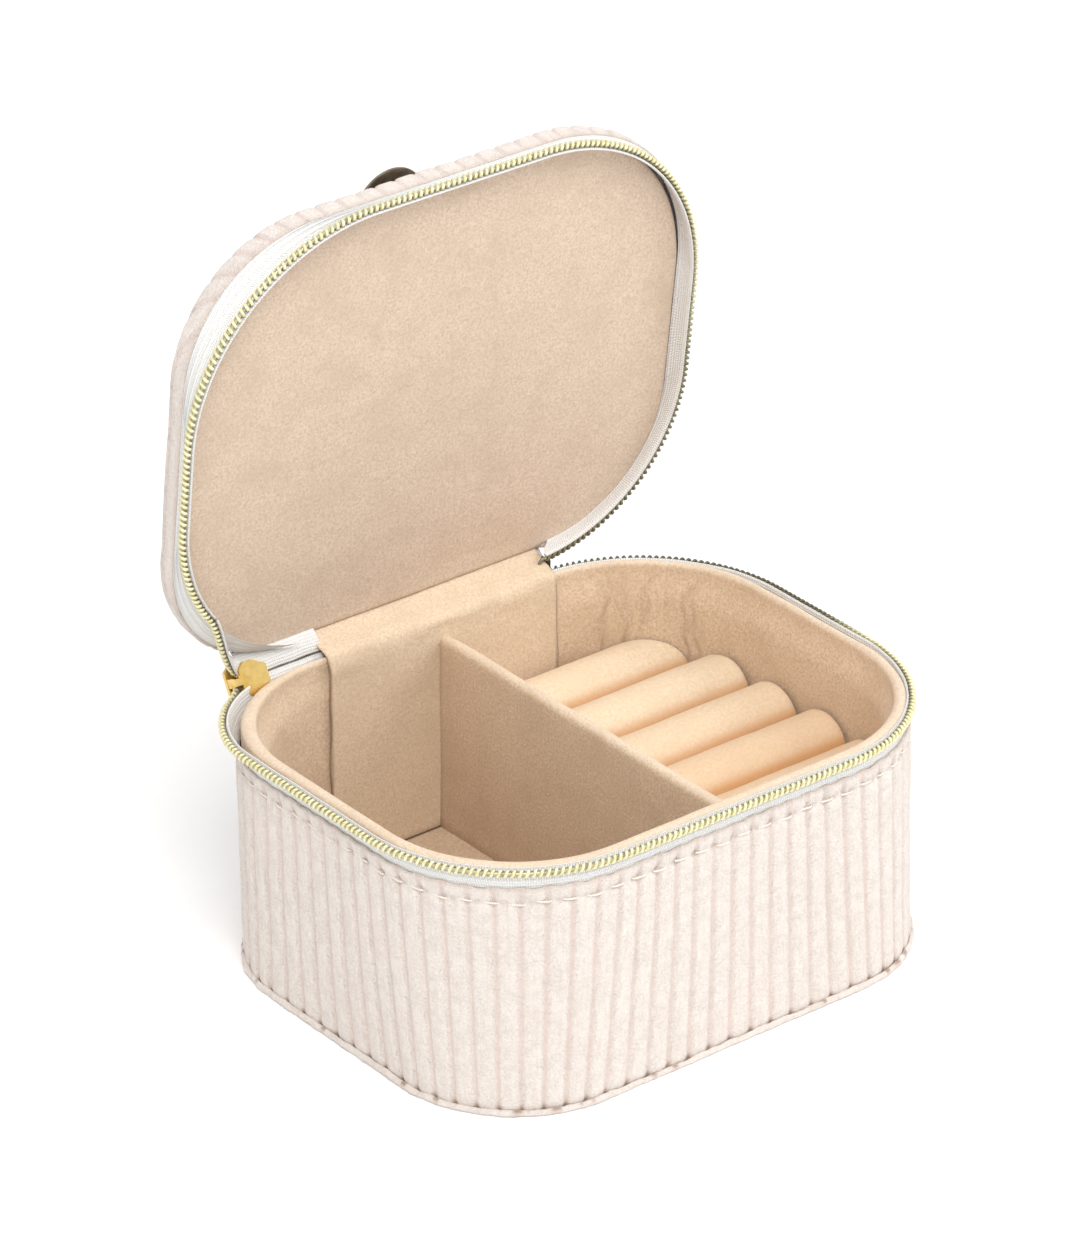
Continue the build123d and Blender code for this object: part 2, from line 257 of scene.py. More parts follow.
# ---- meshes ----
class Skin:
    """Collects patches of mesh, given in millimetres, and makes one object of them."""

    def __init__(self):
        self.points, self.faces, self.uvs, self.shades = [], [], [], []
        self.count = 0

    def patch(self, points, uv=None, shade=0.0, wrap=False, closed=False, flip=False):
        """A patch through rows of points. Wrap joins the last column to the first, and closed does so with
        the rows."""
        rows, columns = points.shape[:2]
        if uv is None:
            uv = np.stack(np.meshgrid(np.arange(columns + 1), np.arange(rows + 1)), -1).astype(float)
        down = np.arange(rows if closed else rows - 1)
        across = np.arange(columns if wrap else columns - 1)
        i, j = np.meshgrid(down, across, indexing="ij")
        corners = [(i, j), (i, j + 1), (i + 1, j + 1), (i + 1, j)]
        if flip:
            corners.reverse()
        faces = np.stack([(a % rows) * columns + b % columns for a, b in corners], -1)
        self.faces.append(faces.reshape(-1, 4) + self.count)
        self.uvs.append(np.stack([uv[a % len(uv), b % uv.shape[1]] for a, b in corners], -2).reshape(-1, 2))
        self.points.append(points.reshape(-1, 3))
        self.shades.append(np.broadcast_to(shade, (rows, columns)).ravel())
        self.count += rows * columns
        return self

    def tube(self, path, radius, sides=8, hint=(0, 0, 1), shade=0.0):
        """A tube along a path, with its ends closed. The hint is a rough direction across it."""
        radius = np.full(len(path) + 2, float(radius))
        radius[[0, -1]] *= 0.15
        ahead = unit(np.gradient(path, axis=0))
        path, ahead = [np.concatenate([values[:1], values, values[-1:]]) for values in (path, ahead)]
        if np.ndim(hint) == 2:
            hint = np.concatenate([hint[:1], hint, hint[-1:]])
        if np.ndim(shade):
            shade = np.concatenate([shade[:1], shade, shade[-1:]])[:, None]
        hint = np.broadcast_to(np.asarray(hint, float), path.shape)
        side = unit(np.cross(ahead, hint))
        top = np.cross(side, ahead)
        angle = np.linspace(0, 2 * math.pi, sides, endpoint=False)
        ring = side[:, None] * np.cos(angle)[:, None] + top[:, None] * np.sin(angle)[:, None]
        run = distance_run(path)
        uv = np.stack(np.broadcast_arrays(run[:, None], np.linspace(0, 1, sides + 1)), -1)
        return self.patch(path[:, None] + ring * radius[:, None, None], uv=uv, shade=shade, wrap=True)

    def make(self, name, material, body=None, slot=None):
        """One object of all the patches, on a body. The slot is not used."""
        mesh = bpy.data.meshes.new(name)
        mesh.from_pydata((np.concatenate(self.points) * MM).tolist(), [], np.concatenate(self.faces).tolist())
        uvs = np.concatenate(self.uvs).astype(np.float32)
        mesh.uv_layers.new(name="UVMap").data.foreach_set("uv", uvs.ravel())
        shade = mesh.attributes.new("shade", "FLOAT", "POINT")
        shade.data.foreach_set("value", np.concatenate(self.shades).astype(np.float32))
        mesh.shade_smooth()
        mesh.materials.append(material)
        made = bpy.data.objects.new(name, mesh)
        bpy.context.scene.collection.objects.link(made)
        if body:
            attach(made, body)
        return made


# ---- materials ----
def srgb(red, green, blue):
    """A colour given as 0 to 255, as the linear colour that a shader takes."""
    values = np.array([red, green, blue]) / 255
    linear = np.where(values <= 0.04045, values / 12.92, ((values + 0.055) / 1.055) ** 2.4)
    return (*linear, 1.0)


class Look:
    """A material's node tree, with short ways to add to it."""

    def __init__(self, name, **values):
        self.material = bpy.data.materials.new(name)
        self.material.use_nodes = True
        self.tree = self.material.node_tree
        self.surface = self.tree.nodes["Principled BSDF"]
        for socket, value in values.items():
            self.surface.inputs[socket.replace("_", " ")].default_value = value

    def add(self, kind, inputs=(), output=0, **settings):
        """Adds a node and returns one of its outputs."""
        made = self.tree.nodes.new("ShaderNode" + kind)
        for setting, value in settings.items():
            setattr(made, setting, value)
        for socket, value in dict(inputs).items():
            self.put(made.inputs[socket], value)
        return made.outputs[output]

    def put(self, socket, value):
        if isinstance(value, bpy.types.NodeSocket):
            self.tree.links.new(value, socket)
        else:
            socket.default_value = value

    def math(self, operation, *values):
        return self.add("Math", enumerate(values), operation=operation)

    def place(self):
        """Object coordinates, in metres."""
        return self.add("TexCoord", output="Object")

    def noise(self, size, detail=2.0, roughness=0.5, vector=None):
        """Noise from 0 to 1 with features of a size in millimetres."""
        inputs = {"Scale": 1 / (size * MM), "Detail": detail, "Roughness": roughness}
        return self.add("TexNoise", inputs | {"Vector": vector or self.place()})

    def ramp(self, value, low, high, out_low=0.0, out_high=1.0):
        inputs = {"Value": value, "From Min": low, "From Max": high, "To Min": out_low, "To Max": out_high}
        return self.add("MapRange", inputs, interpolation_type="SMOOTHSTEP")

    def mix(self, share, first, second, blend_type="MIX"):
        inputs = {0: share, 6: first, 7: second}
        return self.add("Mix", inputs, output=2, data_type="RGBA", blend_type=blend_type)

    def uv(self):
        """The two numbers of the mesh's own map."""
        made = self.add("SeparateXYZ", {0: self.add("UVMap", uv_map="UVMap")}).node
        return made.outputs[0], made.outputs[1]

    def shade(self):
        return self.add("Attribute", attribute_name="shade", output="Fac")

    def bump(self, height, distance, below=None):
        """Bump of a height in millimetres, on top of another bump if there is one."""
        inputs = {"Height": height, "Distance": distance * MM}
        if below is not None:
            inputs["Normal"] = below
        return self.add("Bump", inputs)

    def finish(self, colour, normal, roughness=None):
        self.put(self.surface.inputs["Base Color"], colour)
        self.put(self.surface.inputs["Normal"], normal)
        if roughness is not None:
            self.put(self.surface.inputs["Roughness"], roughness)
        return self.material


def corduroy(name, ribbed=True):
    """Ribbed pile. The map's first number counts ribs and its second runs along them in millimetres."""
    look = Look(name, Roughness=0.92, Sheen_Weight=0.25, Sheen_Roughness=0.6)
    look.surface.inputs["Sheen Tint"].default_value = srgb(255, 246, 240)
    fibre = look.noise(0.45, 3.0, 0.65)
    pile = look.noise(2.6, 4.0, 0.6)
    patchy = look.noise(14.0, 2.0)
    colour = look.mix(look.ramp(pile, 0.36, 0.66), srgb(222, 213, 205), srgb(210, 199, 190))
    colour = look.mix(look.ramp(patchy, 0.45, 0.75, 0, 0.5), colour, srgb(220, 208, 201))
    colour = look.mix(look.ramp(fibre, 0.35, 0.7, 0, 0.6), colour, srgb(236, 230, 224))
    if ribbed:
        across, along = look.uv()
        inputs = {0: look.math("MULTIPLY", across, 5 * MM), 1: look.math("MULTIPLY", along, 0.1 * MM)}
        streak = look.noise(0.8, 3.0, 0.6, look.add("CombineXYZ", inputs))
        colour = look.mix(look.ramp(streak, 0.45, 0.7, 0, 0.5), colour, srgb(212, 199, 190))
        from_groove = look.math("PINGPONG", across, 0.5)
        ragged = look.math("ADD", from_groove, look.math("MULTIPLY", look.math("SUBTRACT", pile, 0.5), 0.16))
        groove = look.ramp(ragged, 0.0, 0.16, 1, 0)
        # Painted shade in the grooves: they are coloured darker and pinker than the ribs.
        groove_shade = look.mix(patchy, srgb(204, 186, 178), srgb(214, 180, 170))
        colour = look.mix(look.math("MULTIPLY", groove, 0.5), colour, groove_shade)
        crown = look.ramp(ragged, 0.02, 0.22)
        normal = look.bump(crown, 0.22)
    else:
        normal = None
    colour = look.mix(look.shade(), colour, srgb(150, 116, 92))
    normal = look.bump(pile, 0.42, normal)
    return look.finish(colour, look.bump(fibre, 0.3, normal))


def suede(name, light, dark, shadow, grain=0.5):
    """Matt microsuede, mottled. The mesh's shade attribute darkens it with painted shade, and below zero
    makes it paler with a painted highlight.
    """
    look = Look(name, Roughness=0.88, Sheen_Weight=0.12, Sheen_Roughness=0.5)
    fine = look.noise(grain, 4.0, 0.7)
    cloud = look.noise(9.0, 3.0, 0.55)
    streak = look.noise(2.2, 3.0, 0.6)
    colour = look.mix(look.ramp(fine, 0.32, 0.7), srgb(*light), srgb(*dark))
    colour = look.mix(look.ramp(cloud, 0.4, 0.75, 0, 0.45), colour, srgb(*dark))
    colour = look.mix(look.ramp(streak, 0.5, 0.8, 0, 0.25), colour, srgb(*light))
    shade = look.shade()
    # A painted highlight where the shade attribute is below zero.
    colour = look.mix(look.ramp(shade, -1, 0, 1, 0), colour, srgb(238, 226, 208))
    colour = look.mix(shade, colour, srgb(*shadow))
    normal = look.bump(streak, 0.1)
    return look.finish(colour, look.bump(fine, 0.1, normal))


def woven_tape():
    """Close herringbone weave. The map is in millimetres along and across the tape."""
    look = Look("woven_tape", Roughness=0.8, Sheen_Weight=0.1)
    along, across = look.uv()
    warp = look.math("PINGPONG", look.math("DIVIDE", across, 0.62), 0.5)
    slant = look.math("ADD", look.math("DIVIDE", along, 0.5), look.math("MULTIPLY", warp, 1.3))
    weft = look.math("PINGPONG", slant, 0.5)
    thread = look.math("MULTIPLY", look.ramp(warp, 0.02, 0.3), look.ramp(weft, 0.02, 0.3))
    fine = look.noise(0.3, 2.0)
    colour = look.mix(thread, srgb(226, 225, 222), srgb(250, 250, 249))
    colour = look.mix(look.ramp(fine, 0.35, 0.75, 0, 0.3), colour, srgb(238, 237, 234))
    colour = look.mix(look.shade(), colour, srgb(120, 108, 92))
    return look.finish(colour, look.bump(fine, 0.05, look.bump(thread, 0.14)))


def coil_plastic(name, light, dark):
    """Metal-coated filament, darker where the mesh's shade attribute says: on the inner half of each turn,
    and with painted shade on coils on the far side of the ring.
    """
    look = Look(name, Metallic=0.3, Roughness=0.35)
    worn = look.noise(0.9, 3.0)
    colour = look.mix(look.ramp(worn, 0.35, 0.7), srgb(*light), srgb(*dark))
    colour = look.mix(look.shade(), colour, srgb(96, 90, 70))
    return look.finish(colour, look.bump(look.noise(0.25), 0.03), look.ramp(worn, 0.3, 0.8, 0.25, 0.5))


def plated(name, light, dark, roughness):
    """Plated metal with fine scratches, dulled in patches."""
    look = Look(name, Metallic=1.0)
    stretched = look.add("Mapping", {"Vector": look.place(), "Scale": (1.0, 6.0, 6.0)})
    scratch = look.noise(0.7, 4.0, 0.7, stretched)
    tarnish = look.noise(2.6, 3.0)
    colour = look.mix(look.ramp(tarnish, 0.35, 0.72), srgb(*light), srgb(*dark))
    normal = look.bump(scratch, 0.025)
    return look.finish(colour, normal, look.ramp(tarnish, 0.3, 0.8, roughness, roughness + 0.18))


def sewing_thread():
    look = Look("sewing_thread", Roughness=0.7, Sheen_Weight=0.2)
    along, around = look.uv()
    twist = look.math("PINGPONG", look.math("ADD", look.math("DIVIDE", along, 0.42), around), 0.5)
    colour = look.mix(look.ramp(twist, 0.0, 0.3), srgb(214, 200, 186), srgb(240, 231, 220))
    return look.finish(colour, look.bump(twist, 0.12))


def painted_board(name, light, dark):
    """Smooth pale studio board with a faint tooth."""
    look = Look(name, Roughness=0.85)
    tooth = look.noise(3.0, 2.0)
    return look.finish(look.mix(tooth, srgb(*light), srgb(*dark)), look.bump(tooth, 0.02))


RIBBED = corduroy("ribbed_corduroy")
PILE = corduroy("corduroy_pile", ribbed=False)
LINING = suede("suede_lining", (226, 203, 177), (194, 169, 140), (124, 92, 66))
LID_LINING = suede("suede_lid_lining", (220, 200, 180), (193, 171, 149), (140, 112, 86))
STRIP_LINING = suede("suede_light_strip", (226, 205, 179), (202, 180, 152), (120, 90, 66))
ROLL_SUEDE = suede("suede_ring_roll", (230, 211, 184), (218, 196, 166), (206, 158, 108), 0.7)
TAPE = woven_tape()
COIL = coil_plastic("gold_coil", (240, 234, 196), (222, 212, 158))
CORD = coil_plastic("coil_core", (196, 192, 160), (150, 145, 112))
# A darker copy of the coil's material: painted shade for the chain ends on the far side.
SHADED_COIL = coil_plastic("shaded_coil", (150, 146, 128), (96, 92, 78))
GOLD = plated("satin_gold", (236, 206, 132), (214, 176, 96), 0.28)
BRONZE = plated("antique_bronze", (170, 160, 142), (138, 127, 108), 0.36)
DARK_METAL = plated("dark_plate", (112, 100, 82), (70, 60, 48), 0.35)
THREAD = sewing_thread()


# ---- base ----
def rib_columns():
    """Places round the wall, closer together near each groove, and the rib count at each."""
    steps = np.array([0, 0.035, 0.07, 0.11, 0.17, 0.26, 0.38, 0.5, 0.62, 0.74, 0.83, 0.89, 0.93, 0.965])
    rib = (np.arange(RIB_COUNT)[:, None] + steps).ravel()
    return places_at(mixed(WALL_FOOT, WALL_TOP, 0.6), rib / RIB_COUNT), rib


def wall_shape(height):
    """The wall narrows to its foot, and its corners are squarer there."""
    return mixed(WALL_FOOT, WALL_TOP, (np.clip(height, 0, SEAM_Z) / SEAM_Z) ** 0.85)


def ribbed_wall():
    """Ribbed cloth round the wall, with a real groove between ribs and a dent at each stitch."""
    place, rib = rib_columns()
    foot = [0.5, 0.8, 1.2, 1.7, 2.3, 3.1, 4.2]
    seam = [42.3, 43.0, 43.5, 43.8, 44.1, 44.4, 44.8, 45.3, 45.8, 46.3, 46.7, 47.0, 47.2, 47.1, 46.6]
    heights = np.concatenate([foot, np.linspace(5.6, 41.4, 22), seam])
    tucked = np.zeros(len(heights))
    tucked[-3:] = [0.2, 0.6, 0.9]
    rest = np.array([loop(place, wall_shape(z), z) for z in heights])
    z = heights[:, None]
    wander = 0.05 * bumps(rest, 16, 3)
    distance = rib_distance(rib + wander)
    groove = hump(distance, 0, 0.55)
    full = smooth(z, 0.8, 2.6) * (1 - 0.72 * smooth(z, 44.6, 46.6))
    hole = np.abs(np.mod(rib / RIB_COUNT * STITCH_COUNT, 1) - 0.5) * RIB_COUNT / STITCH_COUNT * RIB_PITCH
    pinch = hump(z, STITCH_Z, 0.75) * (0.22 + 0.3 * hump(hole, 2.0, 0.5))
    out = -0.34 * full * groove - 0.2 * full * (1 - distance / (RIB_PITCH / 2)) ** 2
    out -= pinch + 0.75 * (1 - smooth(z, 0.5, 2.4)) * (0.5 + 0.5 * groove) + tucked[:, None]
    out += 0.16 * bumps(rest, 13, 1) + 0.07 * bumps(rest, 2.4, 2)
    points = np.array([loop(place, wall_shape(h), h, o) for h, o in zip(heights, out)])
    points[..., 2] += smooth(z, 46.0, 47.3) * (0.16 * np.cos(2 * math.pi * rib) + 0.2 * bumps(rest, 6, 4))
    shade = 0.75 * hump(z, 1.3, 0.8) * groove + 0.3 * hump(z, STITCH_Z, 0.4) * hump(hole, 2.0, 0.35)
    shade = shade + 0.22 * smooth(z, 46.4, 47.1)
    uv = np.stack(np.broadcast_arrays(np.append(rib, RIB_COUNT), z), -1)
    wall = Skin().patch(points, uv, shade, wrap=True).make("ribbed_wall", RIBBED, "base", "ribbed_cloth")
    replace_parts(wall, "base_wall_cover", "base_wall_board", "base_floor_board")


def top_stitches():
    """A row of separate stitches below the zip."""
    skin = Skin()
    width = run_along(WALL_TOP)[1][-1] / STITCH_COUNT
    for index in range(STITCH_COUNT):
        share = (index + 0.5 + np.linspace(-0.31, 0.31, 9)) / STITCH_COUNT
        place = places_at(WALL_TOP, share)
        sink = 0.42 * np.abs(np.linspace(-1, 1, 9)) ** 4
        path = loop(place, wall_shape(STITCH_Z), STITCH_Z, -0.2 - sink)
        path[:, 2] += 0.25 * math.sin(index * 2.1) + np.linspace(-0.12, 0.12, 9) * width / 5
        skin.tube(path, 0.18, hint=(0, 0, 1))
    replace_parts(skin.make("top_stitches", THREAD, "base", "thread"), "base_top_stitching")


def bottom_welt():
    """The fuzzy turned edge round the foot, a little wavy."""
    place = places_at(WALL_FOOT, np.linspace(0, 1, 900, endpoint=False))
    middle = loop(place, WALL_FOOT, 0.95)
    lift = 0.3 * bumps(middle, 22, 5) + 0.3 * bumps(middle, 4.5, 6) + 0.16 * bumps(middle, 1.3, 9)
    rows = []
    for angle in np.linspace(0, 2 * math.pi, 14, endpoint=False):
        out = 0.1 + 0.5 * math.cos(angle) * (1 + 0.4 * bumps(middle, 3.0, 7)) + 0.2 * bumps(middle, 1.1, 8)
        height = 0.72 + 0.7 * math.sin(angle) + lift * (0.5 + 0.5 * math.sin(angle))
        rows.append(loop(place, WALL_FOOT, np.maximum(height, 0.04), out))
    # Painted shade in random specks, strongest on the welt's upper outer side where the wall's grooves meet
    # it.
    shade_specks = 0.1 + 0.75 * smooth(bumps(middle, 1.9, 10), 0.3, 0.5)
    shade = shade_specks * np.array([0.3, 0.6, 1.0, 1.0, 0.8] + [0.2] * 9)[:, None]
    skin = Skin().patch(np.array(rows), wrap=True, closed=True, shade=shade)
    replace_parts(skin.make("bottom_welt", PILE, "base", "ribbed_cloth"), "base_bottom_seam")


def rings_in(place, shape, heights, shares):
    """Loops that close in from a shape to its centre, at shares of its size."""
    edge = loop(place, shape, 0.0)
    centre = np.array([shape[0], shape[1], 0.0])
    rows = centre + (edge - centre) * np.asarray(shares)[:, None, None]
    rows[..., 2] = np.asarray(heights)[:, None]
    return rows


def bottom_cloth():
    """Cloth under the floor, its ribs running from front to back."""
    place = places_at(WALL_FOOT, np.linspace(0, 1, 360, endpoint=False))
    shares = np.concatenate([[1, 0.995, 0.985], np.linspace(0.97, POLE, 40)])
    points = rings_in(place, grown(WALL_FOOT, -0.4), 0.35 - 0.2 * smooth(1 - shares, 0, 0.02), shares)
    points[..., 2] += 0.05 * bumps(points, 9, 9)
    uv = np.concatenate([points, points[:, :1]], axis=1)[..., :2] / np.array([RIB_PITCH, 1])
    skin = Skin().patch(points, uv, wrap=True, flip=True)
    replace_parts(skin.make("bottom_cloth", RIBBED, "base", "ribbed_cloth"), "base_bottom_cover")


def tape_uv(place, shape, rows):
    """A map in millimetres along and across a tape."""
    run = distance_run(loop(place, shape, 0.0))
    return np.stack(np.broadcast_arrays(run, np.asarray(rows, float)[:, None]), -1)


def base_tape():
    """Tape from the wall's seam out to its coil, and back down inside."""
    place = places_at(BASE_ZIP, np.linspace(0, 1, 760), ZIP_START, ZIP_END)
    rows = [(0.0, -0.75, 46.4), (0.1, -0.6, 47.4), (0.35, -0.4, 48.2), (0.7, -0.45, 49.0),
            (0.95, -0.65, 49.8), (1.0, -0.75, 50.6), (1.0, -0.8, 51.2), (1.0, -0.95, 51.3),
            (1.0, -1.15, 51.2), (1.0, -1.2, 50.4), (0.8, -1.25, 49.0), (0.5, -1.35, 48.0)]
    shapes = [(mixed(WALL_TOP, BASE_ZIP, share), height, out) for share, out, height in rows]
    points = profile_loops(place, shapes)
    points += 0.07 * bumps(points, 7, 10)[..., None]
    across = distance_run(np.array([(out, height) for _, out, height in rows]))
    tape = Skin().patch(points, tape_uv(place, BASE_ZIP, across)).make("base_tape", TAPE, "base", "zip_tape")
    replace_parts(tape, "base_zip_tape")


def coil_on(skin, path, across, out, painted_shade=0.0):
    """A coil wound round a path. Across and out are directions in the tape and out of it. The inner half of
    each turn, towards the tape, is darker, and the last argument paints shade along the coil, for coils on
    the far side."""
    run = distance_run(path)
    turns = max(round(run[-1] / COIL_PITCH), 1)
    even = np.linspace(0, run[-1], turns * 14 + 1)

    def along(values):
        """Values at the even steps along the path."""
        values = np.broadcast_to(values, path.shape)
        return np.stack([np.interp(even, run, values[:, axis]) for axis in range(3)], -1)

    middle, across, out = along(path), unit(along(across)), unit(along(out))
    angle = 2 * math.pi * even / run[-1] * turns
    wide, thick = COIL_HALF_WIDTH * np.cos(angle), COIL_HALF_THICK * np.sin(angle)
    spoke = across * wide[:, None] + out * thick[:, None]
    painted_shade = np.interp(even, run, np.broadcast_to(painted_shade, len(path)))
    shade = np.maximum(0.8 * smooth(-np.sin(angle), 0.0, 0.8), painted_shade)
    skin.tube(middle + spoke, COIL_WIRE, sides=7, hint=spoke, shade=shade)


def ring_path(place, shape, height):
    """Path, and directions across the tape and out of it, for a coil on a shape."""
    path = loop(place, shape, height)
    return path, np.broadcast_to([0.0, 0.0, 1.0], path.shape), facing_out(place, shape)


def base_coil():
    """The base's open coil and its core, which end in the slider's lower mouth."""
    place = places_at(BASE_ZIP, np.linspace(0, 1, 500), ZIP_START, ZIP_END)
    path, across, out = ring_path(place, BASE_ZIP, COIL_Z)
    share = np.linspace(0, 1, 500)[:, None]
    path = path + smooth(share, 0.962, 0.985) * np.array([0.0, 0.4, -0.5])
    path = path + smooth(share, 0.985, 1.0) * np.array([0.0, 1.3, 0.8])
    coil = Skin()
    # Painted shade on the coil along the far side of the ring, its back right corner and right side.
    coil_on(coil, path, across, out, painted_shade=1 - smooth(place, 2.4, 3.2))
    made = coil.make("base_coil", COIL, "base", "zip_coil")
    core = Skin().tube(path, CORE_RADIUS, sides=6, hint=across)
    core.make("base_coil_core", CORD, "base", "zip_coil").parent = made
    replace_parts(made, "base_zip_coil")


def wall_creases(points):
    """Upright creases in the lining at the back right corner, placed in degrees about the corner's middle."""
    x, y, z = points[..., 0], points[..., 1], points[..., 2]
    middle = INNER[:2] + INNER[2:4] - INNER[4]
    turn = np.degrees(np.arctan2(x - middle[0], y - middle[1]))
    creases = 0
    for place, width, depth, lean, low in CREASES:
        line = place + lean * (z - 35) + 1.1 * np.sin(z / 3.1 + place) + 0.7 * np.sin(z / 1.3 + 2 * place)
        ridge = hump(turn, line, width) - 0.7 * hump(turn, line + 1.7 * width, width)
        creases = creases + depth * ridge * smooth(z, low, low + 6)
    return creases * (1 - smooth(z, 46.5, 49.5))


def left_depth(points):
    """Shade for the depths of the left compartment."""
    return 0.3 * (1 - smooth(points[..., 2], 4, 44)) * (points[..., 0] < DIVIDER_LOW[0] + 1)


def wall_lining():
    """Padded wall lining, its rounded rim turned over the card's edge."""
    place = places_at(INNER, np.linspace(0, 1, 1000, endpoint=False))
    rise = np.linspace(0, math.pi, 17)
    heights = np.concatenate([[5.6], np.linspace(7, 48.4, 56), [49.1, 49.6]])
    rows = [(0.42 * smooth(z, 43, 50), z) for z in heights]
    rows += [(0.71 - 0.29 * math.cos(a), 49.9 + 1.4 * math.sin(a) ** 0.75) for a in rise[1:-1]]
    rows += [(1.0, 49.7), (1.0, 48.6), (1.0, 47.2)]
    inner, edge = loop(place, INNER, 0.0), loop(place, RIM_EDGE, 0.0)
    points = np.array([mixed(inner, edge, share) + np.array([0, 0, z]) for share, z in rows])
    soft = 0.22 * bumps(points, 15, 11) + 0.07 * bumps(points, 4, 12) - wall_creases(points)
    on_wall = np.array([1 - smooth(share, 0.35, 0.7) for share, z in rows])[:, None]
    points = points + facing_out(place, INNER) * (soft * on_wall)[..., None]
    points[..., 2] += 0.18 * bumps(points, 9, 13) * (1 - on_wall)
    shade = 0.3 * hump(points[..., 2], 6.0, 1.6) + 0.3 * np.abs(wall_creases(points))
    # A painted highlight along the rim's top, and painted shade in the left compartment's depths.
    shade = shade - 0.35 * smooth(points[..., 2], 50.0, 51.0) + left_depth(points)
    lining = Skin().patch(points, shade=shade, wrap=True).make("wall_lining", LINING, "base", "suede_lining")
    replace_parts(lining, "base_wall_lining")


def padded_floor():
    """Soft floor pad, its edge turned down at the wall."""
    place = places_at(INNER, np.linspace(0, 1, 420, endpoint=False))
    shares = np.concatenate([[1, 0.998, 0.993, 0.985, 0.975], np.linspace(0.96, POLE, 46)])
    rise = PAD_TOP - 1.2 + 1.2 * smooth(1 - shares, 0.0, 0.02) ** 0.5
    points = rings_in(place, grown(INNER, 0.1), rise, shares)
    points[..., 2] += (0.1 * bumps(points, 11, 14) - 0.06) * smooth(1 - shares, 0, 0.05)[:, None]
    skin = Skin().patch(points, wrap=True, shade=left_depth(points))
    floor = skin.make("padded_floor", LINING, "base", "suede_lining")
    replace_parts(floor, "floor_pad", "ring_base_card")


def divider():
    """Covered card wall between the two compartments, soft along its top edge."""
    low, high = DIVIDER_LOW, DIVIDER_HIGH
    half, middle = (high[0] - low[0]) / 2, (high[0] + low[0]) / 2
    turn = np.linspace(math.pi, 0, 11)
    side = np.concatenate([[low[2] - 0.3], np.linspace(low[2] + 1, high[2] - half, 26)])
    section = [(-half, z) for z in side[:-1]]
    section += [(half * math.cos(a), high[2] - half + half * math.sin(a)) for a in turn]
    section += [(half, z) for z in side[-2::-1]]
    section = np.array(section)
    depth = np.linspace(low[1] - 0.3, high[1] + 0.3, 110)
    points = np.zeros((len(section), len(depth), 3))
    points[..., 0] = middle + section[:, :1]
    points[..., 1] = depth
    points[..., 2] = section[:, 1:]
    points[..., 0] += 0.16 * bumps(points, 17, 15) + 0.05 * bumps(points, 4, 16)
    end = hump(depth, high[1], 2.2) + hump(depth, low[1], 1.6)
    points[..., 2] += (0.14 * bumps(points, 8, 17) - 0.3 * end) * smooth(points[..., 2], 40, 47)
    shade = 0.35 * hump(points[..., 2], low[2], 1.2) + 0.45 * hump(points[..., 1], high[1] + 0.2, 0.7)
    # A painted highlight along the top edge, and painted shade in the left compartment's depths.
    shade = shade - 0.35 * smooth(points[..., 2], 46.9, 47.8) + left_depth(points)
    cover = Skin().patch(points, shade=shade).make("divider_cover_cloth", LINING, "base", "suede_lining")
    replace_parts(cover, "divider_cover", "divider_board")


def roll_section():
    """Outline of a ring roll seen from its end, about its middle: upright sides and a round top."""
    low, high = box_mm("ring_roll_cover_3")
    half = (high[1] - low[1]) / 2
    shoulder = high[2] - half
    turn = np.linspace(0, math.pi, 31)
    left = [(-half * 0.99, z) for z in np.linspace(shoulder, low[2], 12)[1:]]
    top = [(half * math.cos(a), shoulder + half * math.sin(a)) for a in turn]
    right = [(half * 0.99, z) for z in np.linspace(low[2], shoulder, 12)[:-1]]
    return np.array(right + top + left)


def inner_wall_x(y):
    """Where the right hand wall's inner face is, for a depth y."""
    place = np.linspace(1, 4, 1201)
    point = outline(place, INNER)[0]
    order = np.argsort(point[:, 1])
    return np.interp(y, point[order, 1], point[order, 0])


def ring_roll(index):
    """A padded roll wrapped in suede, cut off near the wall's curve."""
    name = f"ring_roll_cover_{index}"
    low, high = box_mm(name)
    section = roll_section()
    half = section[0, 0]
    middle = high[1] - half
    y = np.maximum(middle + section[:, 0], INNER[1] - INNER[3] + 0.5)
    far = np.minimum(inner_wall_x(y) - 1.0, high[0] - 0.1)
    end_tilt = 0.35 * math.sin(index * 1.7)
    along = np.concatenate([[0.0, 0.01], np.linspace(0.03, 0.97, 44), [0.985, 0.995, 1.0]])
    points = np.zeros((len(section), len(along), 3))
    points[..., 0] = low[0] + (far - low[0])[:, None] * along
    points[..., 0] += end_tilt * (section[:, 1:] - 31) / 8 * along**4
    points[..., 1] = y[:, None]
    points[..., 2] = section[:, 1:]
    centre = np.array([0, middle, high[2] - half])
    spoke = points - centre
    spoke[..., 0] = 0
    spoke = unit(spoke)
    edge = 0.25 * smooth(along, 0.985, 1.0)
    swell = 0.16 * bumps(points, 14, 20 + index) + 0.05 * bumps(points, 3.5, 30 + index) - edge
    points += spoke * (swell - 0.1)[..., None]
    caps = []
    for share, sink in [(0.94, 0.02), (0.8, 0.1), (0.5, 0.22), (0.02, 0.3)]:
        ring = points[:, -1].copy()
        ring[:, 1:] = centre[1:] + (ring[:, 1:] - centre[1:]) * share
        ring[:, 0] = np.minimum(inner_wall_x(ring[:, 1]) - 1.0, high[0] - 0.1) - sink
        caps.append(ring)
    points = np.concatenate([points, np.stack(caps, 1)], axis=1)
    height = points[..., 2]
    gap = np.abs(points[..., 1] - middle) / half
    # Painted shade in the gaps between the rolls below their tops, and more on the rolls towards the front.
    shade = 0.9 * smooth(gap, 0.66, 0.97) * (1 - smooth(high[2] - height, 3.4, 0.9)) + ROLL_SHADE[index - 1]
    skin = Skin().patch(points, shade=np.clip(shade, 0, 1), closed=True)
    roll = skin.make(f"ring_roll_{index}", ROLL_SUEDE, "base", "roll_suede")
    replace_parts(roll, name, f"ring_roll_core_{index}")


